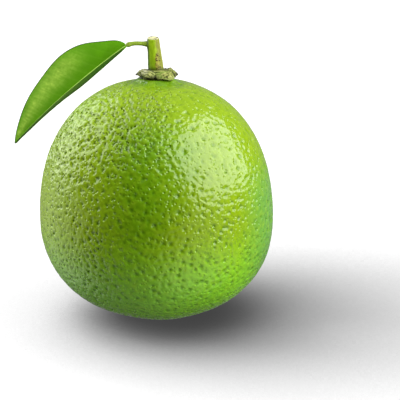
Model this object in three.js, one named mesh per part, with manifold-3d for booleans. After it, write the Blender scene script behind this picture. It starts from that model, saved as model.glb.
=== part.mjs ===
// A lime as picked: the fruit, its dry calyx, a short cut stalk and one leaf on its leaf stalk.
// Millimetres, +Z up. The origin is the middle of the small flat spot that the fruit rests on,
// and the leaf reaches out towards -X.

import * as THREE from 'three';
import { mergeVertices } from 'three/addons/utils/BufferGeometryUtils.js';
import Module from 'manifold-3d';

const wasm = await Module();
wasm.setup();
const { clamp, degToRad, euclideanModulo, lerp, mapLinear, radToDeg, smoothstep } = THREE.MathUtils;

// ------------------------------------------------------------------ driving dimensions

const GAP = 0.3; // clearance between pieces that touch on the real fruit

const FRUIT = {
  width: 58.3, // across the widest plane
  crownHeight: 34.6, // from the widest plane up to the crown
  blossomDepth: 25.2, // from the widest plane down to the blossom end, before the flat spot
  crownRoundness: 2.26, // exponent of the outline, where 2 is an ellipse and more is fuller
  blossomRoundness: 2.14, // the same below the widest plane
  lean: 0.0155, // fuller low on +X and high on -X, as a share of the radius
  flutes: 5, // faint ribs over the segments inside
  fluteDepth: 0.005, // as a share of the radius
  flutePhase: 1,
  flatDepth: 0.3, // how much of the blossom end is pressed flat
  collarRadius: 3.95, // crest of the low ring of rind round the calyx
  collarHeight: 0.66,
  collarWidth: 1.25,
  detail: 21, // each edge of the icosahedron is split into detail + 1
  crowding: 0.35, // how much closer the net is drawn at the crown
};

const RIND = {
  pitSpacing: 2.2, // oil gland pits, the larger ones only
  pitDepth: 0.4,
  swell: 0.16, // slow uneven swelling, shared among the waves below
  plainBelow: 1.6, // no pits this close above the flat spot
  plainRound: 5.5, // nor this close to the stalk
  seed: 11,
};

// three slow waves that cross at odd angles, so that no pattern shows: turns in radians per mm
const SWELL_WAVES = [
  { turn: new THREE.Vector3(0.2, 0, 0.11), phase: 0.4 },
  { turn: new THREE.Vector3(0, 0.18, -0.15), phase: 1.9 },
  { turn: new THREE.Vector3(0.14, -0.17, 0), phase: 2.7 },
];

const CALYX = {
  baseZ: 59.45,
  neckRadius: 2.95, // sits in a round socket in the crown
  neckBevel: 0.1,
  neckHeight: 0.92, // the lobes spread out above this
  rimRadius: 4.2, // where two lobes meet
  rimUnder: 1.2, // underside and top of the rim, above the base
  rimOver: 1.55,
  rimCup: 0.1, // the underside is this much lower half way out
  rimDome: 0.55, // and the top this much higher, so that the skirt is convex
  lobeHalfAngle: 40, // degrees
  crinkle: 0.12, // rise and fall along the edge, by two waves
  crinkleWaves: [
    { count: 7, phase: 0.6 },
    { count: 11, phase: 2 },
  ],
  height: 2.75, // up to the collar round the stalk
  shoulderDrop: 0.25, // from the collar down to the skirt above the neck
  collarWidth: 0.4,
  dishFloor: 1.45, // where the stalk stands, above the base
  segments: 60,
};

// direction in degrees from +X, reach from the middle, and how far the tip stands up
const CALYX_LOBES = [
  { towards: 10, reach: 5.5, lift: -0.1 },
  { towards: 66, reach: 4.9, lift: 0.45 },
  { towards: 180, reach: 5.1, lift: -0.15 },
  { towards: 250, reach: 4.8, lift: 0 },
  { towards: 318, reach: 5.45, lift: -0.4 },
];

const STEM = {
  footRadius: 2.05,
  topRadius: 1.52,
  topZ: 70.15,
  footX: 0.05,
  topX: -0.69,
  ribs: 5,
  ribDepth: 0.07,
  ribPhase: 0.5,
  bevel: 0.22,
  sides: 20,
  rings: 9,
};

const PETIOLE = {
  rootZ: 68.4,
  bowZ: 69.0, // the route bends towards this height half way
  jointX: -6.85,
  jointZ: 68.24,
  rootRadius: 0.76,
  rootLength: 0.25, // share of the length over which the foot narrows
  waistRadius: 0.5,
  jointRadius: 0.6,
  jointLength: 0.3,
  groove: 0.1,
  sides: 10,
  rings: 12,
};

const LEAF = {
  baseX: -7.29, // start of the midrib, just past the joint
  baseZ: 68.07,
  length: 37.1,
  halfWidth: 10.7, // measured along the blade from the midrib
  baseSharpness: 0.574, // exponents of the outline at the two ends
  tipSharpness: 0.807,
  slimness: 0.21, // how much the outline is drawn in, a little way from the base
  slimAt: 0.077,
  slimReach: 0.125,
  stalkHalfWidth: 0.5, // of the blade where it meets its stalk
  tipHalfWidth: 0.3,
  thickness: 0.62,
  arch: 1, // of the midrib above the straight line from joint to tip
  foldAtRib: degToRad(28.9), // slope of each half beside the midrib
  foldAtEdge: degToRad(15.9),
  frontEase: degToRad(2.5), // the front half lies this much flatter towards the base
  easeFrom: 0.3,
  easeTo: 0.55,
  droop: degToRad(41.25),
  roll: degToRad(-19.8),
  heading: Math.PI,
  edgeWaves: 2.37, // slow rises and falls along each edge
  edgeRises: [0.16, 0.06], // of the edge behind and the edge in front
  edgePhases: [1.9, 3.94],
  veins: 9, // side veins in each half
  veinSweep: 2.2, // how many vein spacings a vein runs forward on its way to the edge
  veinRelief: 0.1,
  ribDepth: 0.45, // the midrib stands out below, less towards the tip
  ribTaper: 0.7,
  ribHalfWidth: 0.8,
  stations: 40,
  columns: 6, // in each half
  crowding: 1.25, // exponent that draws the columns closer beside the midrib
};

const COLOUR = {
  rind: 0x78a823,
  calyx: 0x98a066,
  stem: 0x88a020,
  petiole: 0xa0b753,
  leaf: 0x559a10,
};

// ------------------------------------------------------------------ small helpers

function randomFrom(seed) {
  // Park and Miller's generator: the same numbers on every run
  const modulus = 2147483647;
  const multiplier = 16807;
  let state = seed;
  return () => {
    state = (state * multiplier) % modulus;
    return state / modulus;
  };
}

function bareGeometry(geometry) {
  const bare = geometry.index ? geometry.toNonIndexed() : geometry.clone();
  bare.deleteAttribute('normal');
  bare.deleteAttribute('uv');
  return mergeVertices(bare, 1e-4);
}

function mapVertices(geometry, place) {
  const positions = geometry.attributes.position;
  const point = new THREE.Vector3();
  for (let i = 0; i < positions.count; i += 1) {
    point.fromBufferAttribute(positions, i);
    place(point, i);
    positions.setXYZ(i, point.x, point.y, point.z);
  }
  return geometry;
}

function toSolid(geometry) {
  const mesh = new wasm.Mesh({
    numProp: 3,
    vertProperties: new Float32Array(geometry.attributes.position.array),
    triVerts: new Uint32Array(geometry.index.array),
  });
  return new wasm.Manifold(mesh);
}

function toGeometry(solid) {
  const mesh = solid.getMesh();
  const geometry = new THREE.BufferGeometry();
  geometry.setAttribute('position', new THREE.BufferAttribute(mesh.vertProperties, 3));
  geometry.setIndex(new THREE.BufferAttribute(mesh.triVerts, 1));
  return geometry;
}

function piece(name, geometry, colour, roughness) {
  const shown = geometry.toNonIndexed();
  shown.computeVertexNormals();
  const material = new THREE.MeshStandardMaterial({ color: colour, roughness, metalness: 0 });
  const mesh = new THREE.Mesh(shown, material);
  mesh.name = name;
  return mesh;
}

// ------------------------------------------------------------------ fruit

const widestZ = FRUIT.blossomDepth - FRUIT.flatDepth;

function fruitRadius(direction) {
  const above = direction.z > 0;
  const halfHeight = above ? FRUIT.crownHeight : FRUIT.blossomDepth;
  const roundness = above ? FRUIT.crownRoundness : FRUIT.blossomRoundness;
  const level = Math.hypot(direction.x, direction.y);
  const across = (level / (FRUIT.width / 2)) ** roundness;
  const along = (Math.abs(direction.z) / halfHeight) ** roundness;
  const lean = FRUIT.lean * direction.x * direction.z;
  const angle = Math.atan2(direction.y, direction.x);
  const wave = Math.cos(FRUIT.flutes * angle + FRUIT.flutePhase);
  const flute = FRUIT.fluteDepth * wave * (level * direction.z * 2) ** 2;
  return (across + along) ** (-1 / roundness) * (1 - lean + flute);
}

function swellingAt(point) {
  const waves = SWELL_WAVES.map(({ turn, phase }) => Math.sin(turn.dot(point) + phase));
  return (RIND.swell * waves.reduce((sum, wave) => sum + wave, 0)) / waves.length;
}

function crownRise(offAxis) {
  const { collarRadius, collarHeight, collarWidth } = FRUIT;
  const outside = Math.max(0, offAxis - collarRadius);
  return collarHeight * Math.exp(-((outside / collarWidth) ** 2));
}

function drawToCrown(direction) {
  const polar = Math.acos(clamp(direction.z, -1, 1));
  const drawn = polar - (FRUIT.crowding * Math.sin(polar) * (1 + Math.cos(polar))) / 2;
  const angle = Math.atan2(direction.y, direction.x);
  return direction.setFromSphericalCoords(1, drawn, angle);
}

function scatterPits(geometry) {
  // takes vertices in a shuffled order and keeps those that are far enough from every pit so far
  const random = randomFrom(RIND.seed);
  const positions = geometry.attributes.position;
  const points = Array.from({ length: positions.count }, (_, index) => ({
    index,
    order: random(),
    at: new THREE.Vector3().fromBufferAttribute(positions, index),
  })).sort((a, b) => a.order - b.order);
  const pits = [];
  for (const point of points) {
    if (pits.every((pit) => pit.at.distanceTo(point.at) > RIND.pitSpacing)) pits.push(point);
  }
  return new Set(pits.map((pit) => pit.index));
}

function fruitGeometry() {
  const geometry = bareGeometry(new THREE.IcosahedronGeometry(1, FRUIT.detail));
  mapVertices(geometry, (point) => {
    drawToCrown(point.normalize());
    point.multiplyScalar(fruitRadius(point));
    point.setLength(point.length() + swellingAt(point));
    const rise = point.z > 0 ? crownRise(Math.hypot(point.x, point.y)) : 0;
    point.z += widestZ + rise;
  });
  const pits = scatterPits(geometry);
  const heart = new THREE.Vector3(0, 0, widestZ);
  mapVertices(geometry, (point, index) => {
    const offAxis = Math.hypot(point.x, point.y);
    const nearStalk = point.z > widestZ && offAxis < RIND.plainRound;
    if (!pits.has(index) || nearStalk) return;
    const depth = RIND.pitDepth * smoothstep(point.z, RIND.plainBelow / 2, RIND.plainBelow);
    const inward = new THREE.Vector3().subVectors(heart, point).setLength(depth);
    point.add(inward);
  });
  const below = new THREE.BoxGeometry(FRUIT.width, FRUIT.width, FRUIT.width);
  below.translate(0, 0, -FRUIT.width / 2);
  const socketRadius = CALYX.neckRadius + GAP;
  const socket = new THREE.CylinderGeometry(socketRadius, socketRadius, CALYX.height, CALYX.segments);
  socket.rotateX(Math.PI / 2);
  socket.translate(STEM.footX, 0, CALYX.baseZ - GAP + CALYX.height / 2);
  const cuts = [below, socket].map((cut) => toSolid(bareGeometry(cut)));
  return toGeometry(toSolid(geometry).subtract(cuts[0]).subtract(cuts[1]));
}

// ------------------------------------------------------------------ calyx

function turnBetween(one, other) {
  // the smaller angle between two directions, in degrees
  return Math.abs(euclideanModulo(one - other + 180, 360) - 180);
}

function lobesAt(angle) {
  // how far the rim reaches in this direction, and how far it stands up
  let reach = CALYX.rimRadius;
  let lift = 0;
  for (const lobe of CALYX_LOBES) {
    const off = turnBetween(radToDeg(angle), lobe.towards);
    const swell = Math.cos((Math.min(1, off / CALYX.lobeHalfAngle) * Math.PI) / 2);
    reach = Math.max(reach, lerp(CALYX.rimRadius, lobe.reach, swell));
    lift += lobe.lift * swell ** 2;
  }
  return { reach, lift };
}

function calyxGeometry() {
  const { neckRadius, neckBevel, neckHeight, rimRadius, rimUnder, rimOver, height, dishFloor } = CALYX;
  const halfWay = (neckRadius + rimRadius) / 2;
  const dishRadius = STEM.footRadius + GAP;
  const profile = [
    [0, 0],
    [neckRadius - neckBevel, 0],
    [neckRadius, neckBevel],
    [neckRadius, neckHeight],
    [halfWay, rimUnder - CALYX.rimCup],
    [rimRadius, rimUnder],
    [rimRadius, rimOver],
    [halfWay, rimOver + CALYX.rimDome],
    [neckRadius, height - CALYX.shoulderDrop],
    [dishRadius + CALYX.collarWidth, height],
    [dishRadius, height],
    [dishRadius, dishFloor],
    [0, dishFloor],
  ].map(([radius, z]) => new THREE.Vector2(radius, z));
  const lathe = new THREE.LatheGeometry(profile, CALYX.segments);
  lathe.rotateX(Math.PI / 2); // the lathe turns about Y
  return mapVertices(bareGeometry(lathe), (point) => {
    const radius = Math.hypot(point.x, point.y);
    const share = (radius - neckRadius) / (rimRadius - neckRadius);
    if (share <= 0) return;
    const angle = Math.atan2(point.y, point.x);
    const { reach, lift } = lobesAt(angle);
    const stretch = lerp(neckRadius, reach, share) / radius;
    const waves = CALYX.crinkleWaves.map(({ count, phase }) => Math.sin(count * angle + phase));
    const crinkle = CALYX.crinkle * (waves[0] + waves[1]);
    point.x *= stretch;
    point.y *= stretch;
    point.z += (lift + crinkle) * share ** 2;
  });
}

// ------------------------------------------------------------------ stem and petiole

function stalkAlong(route, radiusAt, sides, rings) {
  // a closed cylinder laid along a curve, its rings square to the curve
  const cylinder = bareGeometry(new THREE.CylinderGeometry(1, 1, 1, sides, rings));
  const across = new THREE.Vector3();
  const other = new THREE.Vector3();
  return mapVertices(cylinder, (point) => {
    const along = clamp(point.y + 0.5, 0, 1);
    const tangent = route.getTangent(along);
    across.set(0, 1, 0);
    other.crossVectors(across, tangent).normalize();
    const angle = Math.atan2(point.z, point.x);
    const radius = Math.hypot(point.x, point.z) * radiusAt(along, angle);
    const centre = route.getPoint(along);
    point.copy(centre);
    point.addScaledVector(other, radius * Math.cos(angle));
    point.addScaledVector(across, -radius * Math.sin(angle));
  });
}

const stemFootZ = CALYX.baseZ + CALYX.dishFloor + GAP * 1.5; // the leaning foot dips a little on one side

function stemXAt(z) {
  return mapLinear(z, stemFootZ, STEM.topZ, STEM.footX, STEM.topX);
}

function stemRadiusAt(z) {
  return mapLinear(z, stemFootZ, STEM.topZ, STEM.footRadius, STEM.topRadius);
}

function stemGeometry() {
  const foot = new THREE.Vector3(STEM.footX, 0, stemFootZ);
  const top = new THREE.Vector3(STEM.topX, 0, STEM.topZ);
  const route = new THREE.LineCurve3(foot, top);
  const height = STEM.topZ - stemFootZ;
  const radiusAt = (along, angle) => {
    const plain = lerp(STEM.footRadius, STEM.topRadius, along);
    const toTop = (1 - along) * height;
    const bevel = STEM.bevel * (1 - smoothstep(toTop, 0, STEM.bevel * 2));
    const rib = STEM.ribDepth * (Math.cos(STEM.ribs * angle + STEM.ribPhase) - 1);
    return plain + rib - bevel;
  };
  return stalkAlong(route, radiusAt, STEM.sides, STEM.rings);
}

function petioleGeometry() {
  const rootX = stemXAt(PETIOLE.rootZ) - stemRadiusAt(PETIOLE.rootZ) - GAP;
  const route = new THREE.QuadraticBezierCurve3(
    new THREE.Vector3(rootX, 0, PETIOLE.rootZ),
    new THREE.Vector3((rootX + PETIOLE.jointX) / 2, 0, PETIOLE.bowZ),
    new THREE.Vector3(PETIOLE.jointX, 0, PETIOLE.jointZ),
  );
  const radiusAt = (along, angle) => {
    const root = (PETIOLE.rootRadius - PETIOLE.waistRadius) * (1 - smoothstep(along, 0, PETIOLE.rootLength));
    const joint = (PETIOLE.jointRadius - PETIOLE.waistRadius) * smoothstep(along, 1 - PETIOLE.jointLength, 1);
    const groove = PETIOLE.groove * Math.max(0, Math.cos(angle)) ** 4;
    return PETIOLE.waistRadius + root + joint - groove;
  };
  return stalkAlong(route, radiusAt, PETIOLE.sides, PETIOLE.rings);
}

// ------------------------------------------------------------------ leaf blade

function bladeHalfWidth(along) {
  const { baseSharpness: base, tipSharpness: tip } = LEAF;
  const widest = base / (base + tip);
  const fullest = widest ** base * (1 - widest) ** tip;
  const outline = (along ** base * (1 - along) ** tip) / fullest;
  const drawnIn = 1 - LEAF.slimness * Math.exp(-(((along - LEAF.slimAt) / LEAF.slimReach) ** 2));
  const least = lerp(LEAF.stalkHalfWidth, LEAF.tipHalfWidth, along);
  return Math.max(least, LEAF.halfWidth * outline * drawnIn);
}

function bladePoint(along, across) {
  // the upper face: `across` runs from -1 at one edge through 0 at the midrib to 1 at the other
  const reach = Math.abs(across);
  const width = bladeHalfWidth(along);
  const turn = LEAF.foldAtEdge - LEAF.foldAtRib;
  const ease = across > 0 ? LEAF.frontEase * (1 - smoothstep(along, LEAF.easeFrom, LEAF.easeTo)) : 0;
  const atRib = LEAF.foldAtRib - ease;
  const slope = atRib + turn * reach;
  const sideways = (Math.sin(slope) - Math.sin(atRib)) / turn;
  const upwards = (Math.cos(atRib) - Math.cos(slope)) / turn;
  const arch = LEAF.arch * 4 * along * (1 - along);
  const half = across > 0 ? 1 : 0;
  const body = Math.sin(Math.PI * along);
  const wave = Math.sin(2 * Math.PI * LEAF.edgeWaves * along + LEAF.edgePhases[half]);
  const edge = LEAF.edgeRises[half] * body * reach ** 2 * wave;
  const veinTurns = LEAF.veins * along - LEAF.veinSweep * reach;
  const between = LEAF.veinRelief * body * Math.sin(Math.PI * reach) * Math.cos(2 * Math.PI * veinTurns);
  return new THREE.Vector3(
    along * LEAF.length,
    Math.sign(across) * width * sideways,
    arch + width * upwards + edge + between,
  );
}

function bladeNormal(along, across) {
  const step = 0.01;
  const before = clamp(along - step, 0, 1);
  const after = clamp(along + step, 0, 1);
  const forward = bladePoint(after, across).sub(bladePoint(before, across));
  const right = bladePoint(along, Math.max(-1, across - step));
  const left = bladePoint(along, Math.min(1, across + step));
  return forward.cross(left.sub(right)).normalize();
}

function bladeGeometry() {
  // two faces of the same grid, the lower one set down square to the blade, and a strip all round
  const { stations, columns, crowding } = LEAF;
  const rowLength = 2 * columns + 1;
  const faceLength = (stations + 1) * rowLength;
  const last = rowLength - 1;
  const vertices = [];
  const triangles = [];
  const addFace = (lower) => {
    for (let i = 0; i <= stations; i += 1) {
      const along = i / stations;
      for (let j = -columns; j <= columns; j += 1) {
        const across = Math.sign(j) * (Math.abs(j) / columns) ** crowding;
        const offMidrib = (across * bladeHalfWidth(along)) / LEAF.ribHalfWidth;
        const rib = LEAF.ribDepth * (1 - LEAF.ribTaper * along) * Math.exp(-(offMidrib ** 2));
        const point = bladePoint(along, across);
        if (lower) point.addScaledVector(bladeNormal(along, across), -(LEAF.thickness + rib));
        vertices.push(point.x, point.y, point.z);
      }
    }
  };
  const upper = (i, j) => i * rowLength + j;
  const lower = (i, j) => faceLength + i * rowLength + j;
  const addQuad = (a, b, c, d) => triangles.push(a, b, c, a, c, d);
  addFace(false);
  addFace(true);
  for (let i = 0; i < stations; i += 1) {
    for (let j = 0; j < last; j += 1) {
      addQuad(upper(i, j), upper(i + 1, j), upper(i + 1, j + 1), upper(i, j + 1));
      addQuad(lower(i + 1, j + 1), lower(i + 1, j), lower(i, j), lower(i, j + 1)); // the same diagonal
    }
    addQuad(lower(i, 0), lower(i + 1, 0), upper(i + 1, 0), upper(i, 0));
    addQuad(upper(i, last), upper(i + 1, last), lower(i + 1, last), lower(i, last));
  }
  for (let j = 0; j < last; j += 1) {
    addQuad(upper(0, j), upper(0, j + 1), lower(0, j + 1), lower(0, j));
    addQuad(lower(stations, j), lower(stations, j + 1), upper(stations, j + 1), upper(stations, j));
  }
  const geometry = new THREE.BufferGeometry();
  geometry.setAttribute('position', new THREE.BufferAttribute(new Float32Array(vertices), 3));
  geometry.setIndex(triangles);
  return geometry;
}

// ------------------------------------------------------------------ assembly

const lime = new THREE.Group();

lime.add(piece('fruit', fruitGeometry(), COLOUR.rind, 0.35));

const calyx = piece('calyx', calyxGeometry(), COLOUR.calyx, 0.85);
calyx.position.set(STEM.footX, 0, CALYX.baseZ);
lime.add(calyx);

lime.add(piece('stem', stemGeometry(), COLOUR.stem, 0.6));
lime.add(piece('petiole', petioleGeometry(), COLOUR.petiole, 0.55));

const leaf = new THREE.Group();
leaf.position.set(LEAF.baseX, 0, LEAF.baseZ);
leaf.rotation.set(LEAF.roll, LEAF.droop, LEAF.heading, 'ZYX');
leaf.add(piece('leaf_blade', bladeGeometry(), COLOUR.leaf, 0.4));
lime.add(leaf);

export default lime;
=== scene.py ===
"""A picked lime: pitted rind, dry calyx, cut stalk, leaf stalk and leaf blade, dressed over the frame."""

import math

import bpy
import numpy as np
from mathutils import Euler, Matrix, Vector, noise
from mathutils.kdtree import KDTree


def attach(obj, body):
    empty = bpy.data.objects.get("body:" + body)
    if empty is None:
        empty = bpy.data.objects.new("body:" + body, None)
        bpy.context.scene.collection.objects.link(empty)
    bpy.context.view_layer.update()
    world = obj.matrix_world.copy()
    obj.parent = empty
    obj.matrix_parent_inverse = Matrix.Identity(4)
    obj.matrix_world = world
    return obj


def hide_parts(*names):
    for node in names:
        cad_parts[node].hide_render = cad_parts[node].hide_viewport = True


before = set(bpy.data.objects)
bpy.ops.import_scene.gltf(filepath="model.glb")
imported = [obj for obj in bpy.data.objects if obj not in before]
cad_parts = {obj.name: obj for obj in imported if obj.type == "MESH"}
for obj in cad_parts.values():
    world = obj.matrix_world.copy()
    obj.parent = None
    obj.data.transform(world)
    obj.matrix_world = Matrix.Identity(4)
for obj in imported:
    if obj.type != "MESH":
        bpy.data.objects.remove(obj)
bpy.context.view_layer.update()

MM = 0.001
FRONT = math.radians(-90)  # directions run from +X towards +Y, the front is -Y and the leaf's side -X
LEFT = math.pi

# ---------------------------------------------------------------- the fruit's form, in mm

FRUIT_WIDTH = 58.3
CROWN_HEIGHT = 34.6  # from the widest plane up to the crown
BLOSSOM_DEPTH = 25.2  # from the widest plane down, before the flat spot
CROWN_ROUNDNESS = 2.26  # exponent of the outline, where 2 is an ellipse and more is fuller
BLOSSOM_ROUNDNESS = 2.14  # the same below the widest plane
LEAN = 0.0155  # fuller low on +X and high on -X, as a share of the radius
FLUTES = 5  # faint ribs over the segments inside
FLUTE_DEPTH = 0.005
FLUTE_PHASE = 1.0
WIDEST_Z = BLOSSOM_DEPTH - 0.3  # the lowest 0.3 mm is pressed flat

RIND_PARTS = 97  # an icosahedron edge is split into this many, 0.3 to 0.4 mm each
COLLAR_RADIUS = 3.95  # the rind swells into a low ring round the calyx
COLLAR_HEIGHT = 0.81
COLLAR_WIDTH = 1.2
SOCKET_RADIUS = 3.0  # hollow that the calyx sits in
SOCKET_DEPTH = 0.7

# the oil glands: large ones that show as dark dots in the gloss, and small ones all over
LARGE_GLANDS = {
    "parts": 16,  # an icosahedron edge is split into this many, with a gland at each corner
    "jitter": 0.3,  # how far it strays from there, as a share of the step between corners
    "radius": 0.44,
    "depth": 0.32,
    "darkness": 0.65,
    "deeper_on_shoulder": 0.5,  # by this share
    "deeper_on_cheek": 0.3,
    "seed": 5,
}
SMALL_GLANDS = {
    "parts": 29,
    "jitter": 0.28,
    "radius": 0.34,
    "depth": 0.15,
    "darkness": 0.25,
    "deeper_on_shoulder": 2.6,
    "deeper_on_cheek": 1.0,
    "seed": 9,
}
GLAND_SIZES = (0.7, 1.25)  # the smallest and the largest, as shares of the usual one
GLAND_DEPTHS = (0.45, 1.35)
ICOSAHEDRON_EDGE = 1.107  # in radians, seen from its middle

# from nothing at the first measure to all of it at the second: the glands set in away from the calyx and
# above the flat spot, and the rind is coarse over the shoulder on the -X side and on the cheek below it
GLANDS_OFF_CALYX = (3.9, 5.2)
GLANDS_OFF_FOOT = (0.2, 1.2)
SHOULDER_HEIGHTS = (29, 46)
SHOULDER_TILT = 0.25  # the shoulder starts this much lower for each mm towards +Y
SHOULDER_OFF_CALYX = (5, 10)
SHOULDER_SIDE = (8, 0)  # along X
CHEEK_SIDE = (0, -18)
CHEEK_HEIGHTS = (30, 42)
LOW_CHEEK = 0.35  # how coarse the lower cheek still is

# waves are given as height, size and seed; these are slow swellings under the glands
RIND_SWELLS = [(0.09, 9.0, 3.1), (0.02, 2.2, 7.7)]

# a greener band down the front
BAND_MIDDLE = (-6 * MM, -27 * MM, 36 * MM)
BAND_TURN = (0, math.radians(22), 0)
BAND_STRETCH = (1, 1, 2.2)
CALYX_SHADOW_POINT = (0, 0, 60 * MM)  # painted shadow: the rind is painted darker and greener round this point, as the calyx's shadow

# ---------------------------------------------------------------- calyx and stalk, in mm

STEM_X = 0.05  # the stalk's foot stands here
CALYX_BASE = 59.3
CALYX_NECK = 3.0
CALYX_FOLD = 62.05  # where the calyx turns in to the stalk
CALYX_DISH = 61.2  # the stalk stands on this
CALYX_FRONT_RISE = 0.2  # the fold stands this much higher in front
CALYX_GAP = 0.22  # open crack round the stalk's foot
CALYX_THICK = 0.16
CALYX_FLESH = 0.6  # thicker by this where two lobes meet and the rim reaches less far
CALYX_FLESHY_REACH = (4.8, 4.0)

# round the rim: direction in degrees from +X, reach, height of the rim, height of the shoulder that the
# lobe bends over (a low one makes it a cup), and how dead it is
RIM_MEASURES = ("towards", "reach", "rim", "shoulder", "dead")
CALYX_ROUND = [
    (8, 5.5, 60.85, 62.4, 1.0),
    (26, 4.95, 61.5, 62, 0.5),
    (42, 4.75, 61.95, 61.6, 0.6),
    (60, 4.7, 61.7, 61.2, 0.9),
    (95, 4.7, 61.4, 61, 0.9),
    (128, 3.9, 61.5, 61.8, 0.8),
    (155, 4.5, 61.65, 62.2, 0.8),
    (183, 5.05, 60.85, 62.5, 1.0),
    (203, 4.4, 60.9, 62.3, 0.4),
    (218, 3.95, 61, 62.1, 0.2),
    (243, 4.75, 60.9, 62.1, 0.1),
    (256, 4.3, 60.8, 61.9, 0.5),
    (266, 3.75, 60.8, 61.6, 0.95),
    (280, 4.2, 60.7, 61.9, 0.3),
    (316, 5.25, 60.2, 61.9, 0.0),
    (345, 4.6, 60.3, 62, 0.1),
]

# the ragged rim, its ups and downs, those of the fold, and the crumples, in waves as above
CALYX_RAGGED = [(0.14, 0.14, 3.3), (0.08, 0.05, 1.3)]
CALYX_RIM_WAVES = [(0.1, 0.16, 5.3)]
CALYX_FOLD_WAVES = [(0.1, 0.4, 2.3)]
CALYX_CRUMPLES = [(0.08, 0.9, 5.5), (0.04, 0.38, 8.5)]
CALYX_PLEATS = [(0.15, 0.34, 4.1)]  # fine, out to the tips
CALYX_CREASE = 0.3  # height of the folds that run round the front
CALYX_CREASE_SPACING = 0.7
CREASE_WAVER = [(0.8, 2.6, 6.6)]

# places round the calyx: direction in degrees from +X, and width in radians
CREASED_FRONT = (235, 1.0)
PALER_LOBE = (292, 0.35)
SHADED_NOTCH_LOBE = (236, 0.35)
LIVING_LOBE = (308, 0.7)
BLEACHED_LOBE = (188, 0.7)
FOOT_SHADE_LEFT = (204, 0.35)
FOOT_SHADE_RIGHT = (8, 0.6)

STEM_FOOT_Z = CALYX_DISH
STEM_TOP_Z = 70.05
STEM_TOP_X = -0.69
STEM_FOOT_RADIUS = 2.05
STEM_TOP_RADIUS = 1.47
STEM_FLARE = 0.12  # wider by this at the very foot
STEM_FLARE_TOP = 0.12  # share of the height where the flare ends
STEM_BEVEL = 0.12
BEVEL_HEIGHT = 0.35
STEM_RIDGES = 5
RIDGE_DEPTH = 0.03
NODE_Z = 68.3  # the swelling that the leaf stalk grows from
NODE_SWELL = 0.32
NODE_REACH = 0.75
CUT_SLANT = 0.12  # rise of the cut end towards +Y
CUT_DOME = 0.1

# marks on the bark: direction, half width in radians and, as a share of the height, where they end; each
# has a soft edge from the first measure to the second
CORK_AT = math.radians(-70)
CORK_TURN = 0.3  # how far the scar winds round on its way up
CORK_HALF_WIDTH = (0.42, 0.24)
CORK_TOP = (0.66, 0.5)
WEATHERED_AT = math.radians(25)
WEATHERED_HALF_WIDTH = (2.2, 1.3)
SHADED_HALF_WIDTH = (0.95, 0.58)
SHADED_TOP = (0.6, 0.15)
# the damp mark is painted shade: the stalk's foot is painted dark up to here, where it stands in the calyx
FOOT_SHADE_TOP = (0.24, 0.12)
CORK_HEIGHT = 0.06
WART_HEIGHT = 0.07
GRAIN_HEIGHT = 0.03
WEATHERED_HEIGHT = 0.03

# brown spots on the rim of the cut end: direction and half width in radians, and how brown
CUT_BURNS = [(2.1, 0.35, 1.0), (0.1, 0.4, 1.0), (5.25, 0.25, 0.8)]

PETIOLE_ROUTE = [(-1.5, 68.45), (-2.95, 68.56), (-4.4, 68.64), (-5.4, 68.6), (-6.4, 68.42), (-7.45, 68.08)]
PETIOLE_RADIUS = 0.52
PETIOLE_FOOT = 0.28  # wider by this at the stalk
PETIOLE_KNOT = 0.1  # wider by this just before the blade
PETIOLE_PINCH = 0.35  # narrower by this share where the blade is jointed to it
GROOVE_AT = 1.2  # radians from the top, in front and behind
GROOVE_DEPTH = 0.1

# ---------------------------------------------------------------- leaf blade, in mm

LEAF_BASE = (-7.15, 0.0, 68.17)
LEAF_LENGTH = 37.25
LEAF_HALF_WIDTH = 10.7
BASE_SHARPNESS = 0.574  # exponents of the outline at its two ends
TIP_SHARPNESS = 0.807
BASE_SLIMNESS = 0.21  # how much the outline is drawn in, a little way from the base
BASE_SLIM_AT = 0.077
BASE_SLIM_REACH = 0.125
STALK_HALF_WIDTH = 0.2
TIP_HALF_WIDTH = 0.12
LEAF_THICKNESS = 0.32
LEAF_ARCH = 1.0
FOLD_AT_RIB = math.radians(28.9)
FOLD_AT_EDGE = math.radians(15.9)
FRONT_EASE = math.radians(2.5)  # the front half lies this much flatter towards the base
LEAF_DROOP = math.radians(41.25)
LEAF_ROLL = math.radians(-19.8)
EDGE_WAVES = 2.37  # slow rises and falls along each edge
EDGE_RISES = (0.16, 0.06)  # of the edge behind and the edge in front
EDGE_PHASES = (1.9, 3.94)
LEAF_VEINS = 13
VEIN_SWEEP = 2.2  # how many vein spacings a vein runs forward on its way to the edge

# shape of the blade: a raised midrib, hollow veins and a pillow between them above, thicker ribs below
MIDRIB_RISE = 0.12
MIDRIB_RISE_WIDTH = 0.18
MIDRIB_KEEL = 0.3
MIDRIB_KEEL_WIDTH = 0.55
VEIN_HOLLOW = 0.008
VEIN_KEEL = 0.06
PILLOW = 0.012
BLADE_DIMPLES = [(0.02, 1.6, 3.3)]  # in waves as above
EDGE_THINNESS = 0.35  # share of the thickness that is left at the edge
EDGE_THIN_WIDTH = 0.6

# marks on the blade's faces
MIDRIB_HALF_WIDTH = (0.24, 0.1)
MARGIN_BEHIND = 0.42  # width of the dark rim, painted shade along the edge behind
MARGIN_FRONT = 0.75
HIGHLIGHT_BASE = (0.2, 0.45)  # shares of the length over which the painted highlight sets in and runs out
HIGHLIGHT_TIP = (1.0, 0.94)
HIGHLIGHT_MIDDLE = 0.64  # share of the half width where it is strongest
HIGHLIGHT_INWARD = 0.24  # how far that moves towards the midrib on the way to the tip
HIGHLIGHT_WIDTH = 0.29
STREAK_SPACING = 0.42
STREAK_LENGTH = 1.9

# ---------------------------------------------------------------- small helpers


def linear(code):
    """An sRGB hex colour such as "#78a823" as linear red, green, blue and alpha."""
    values = [int(code[i : i + 2], 16) / 255 for i in (1, 3, 5)]
    return tuple(v / 12.92 if v <= 0.04045 else ((v + 0.055) / 1.055) ** 2.4 for v in values) + (1.0,)


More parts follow.
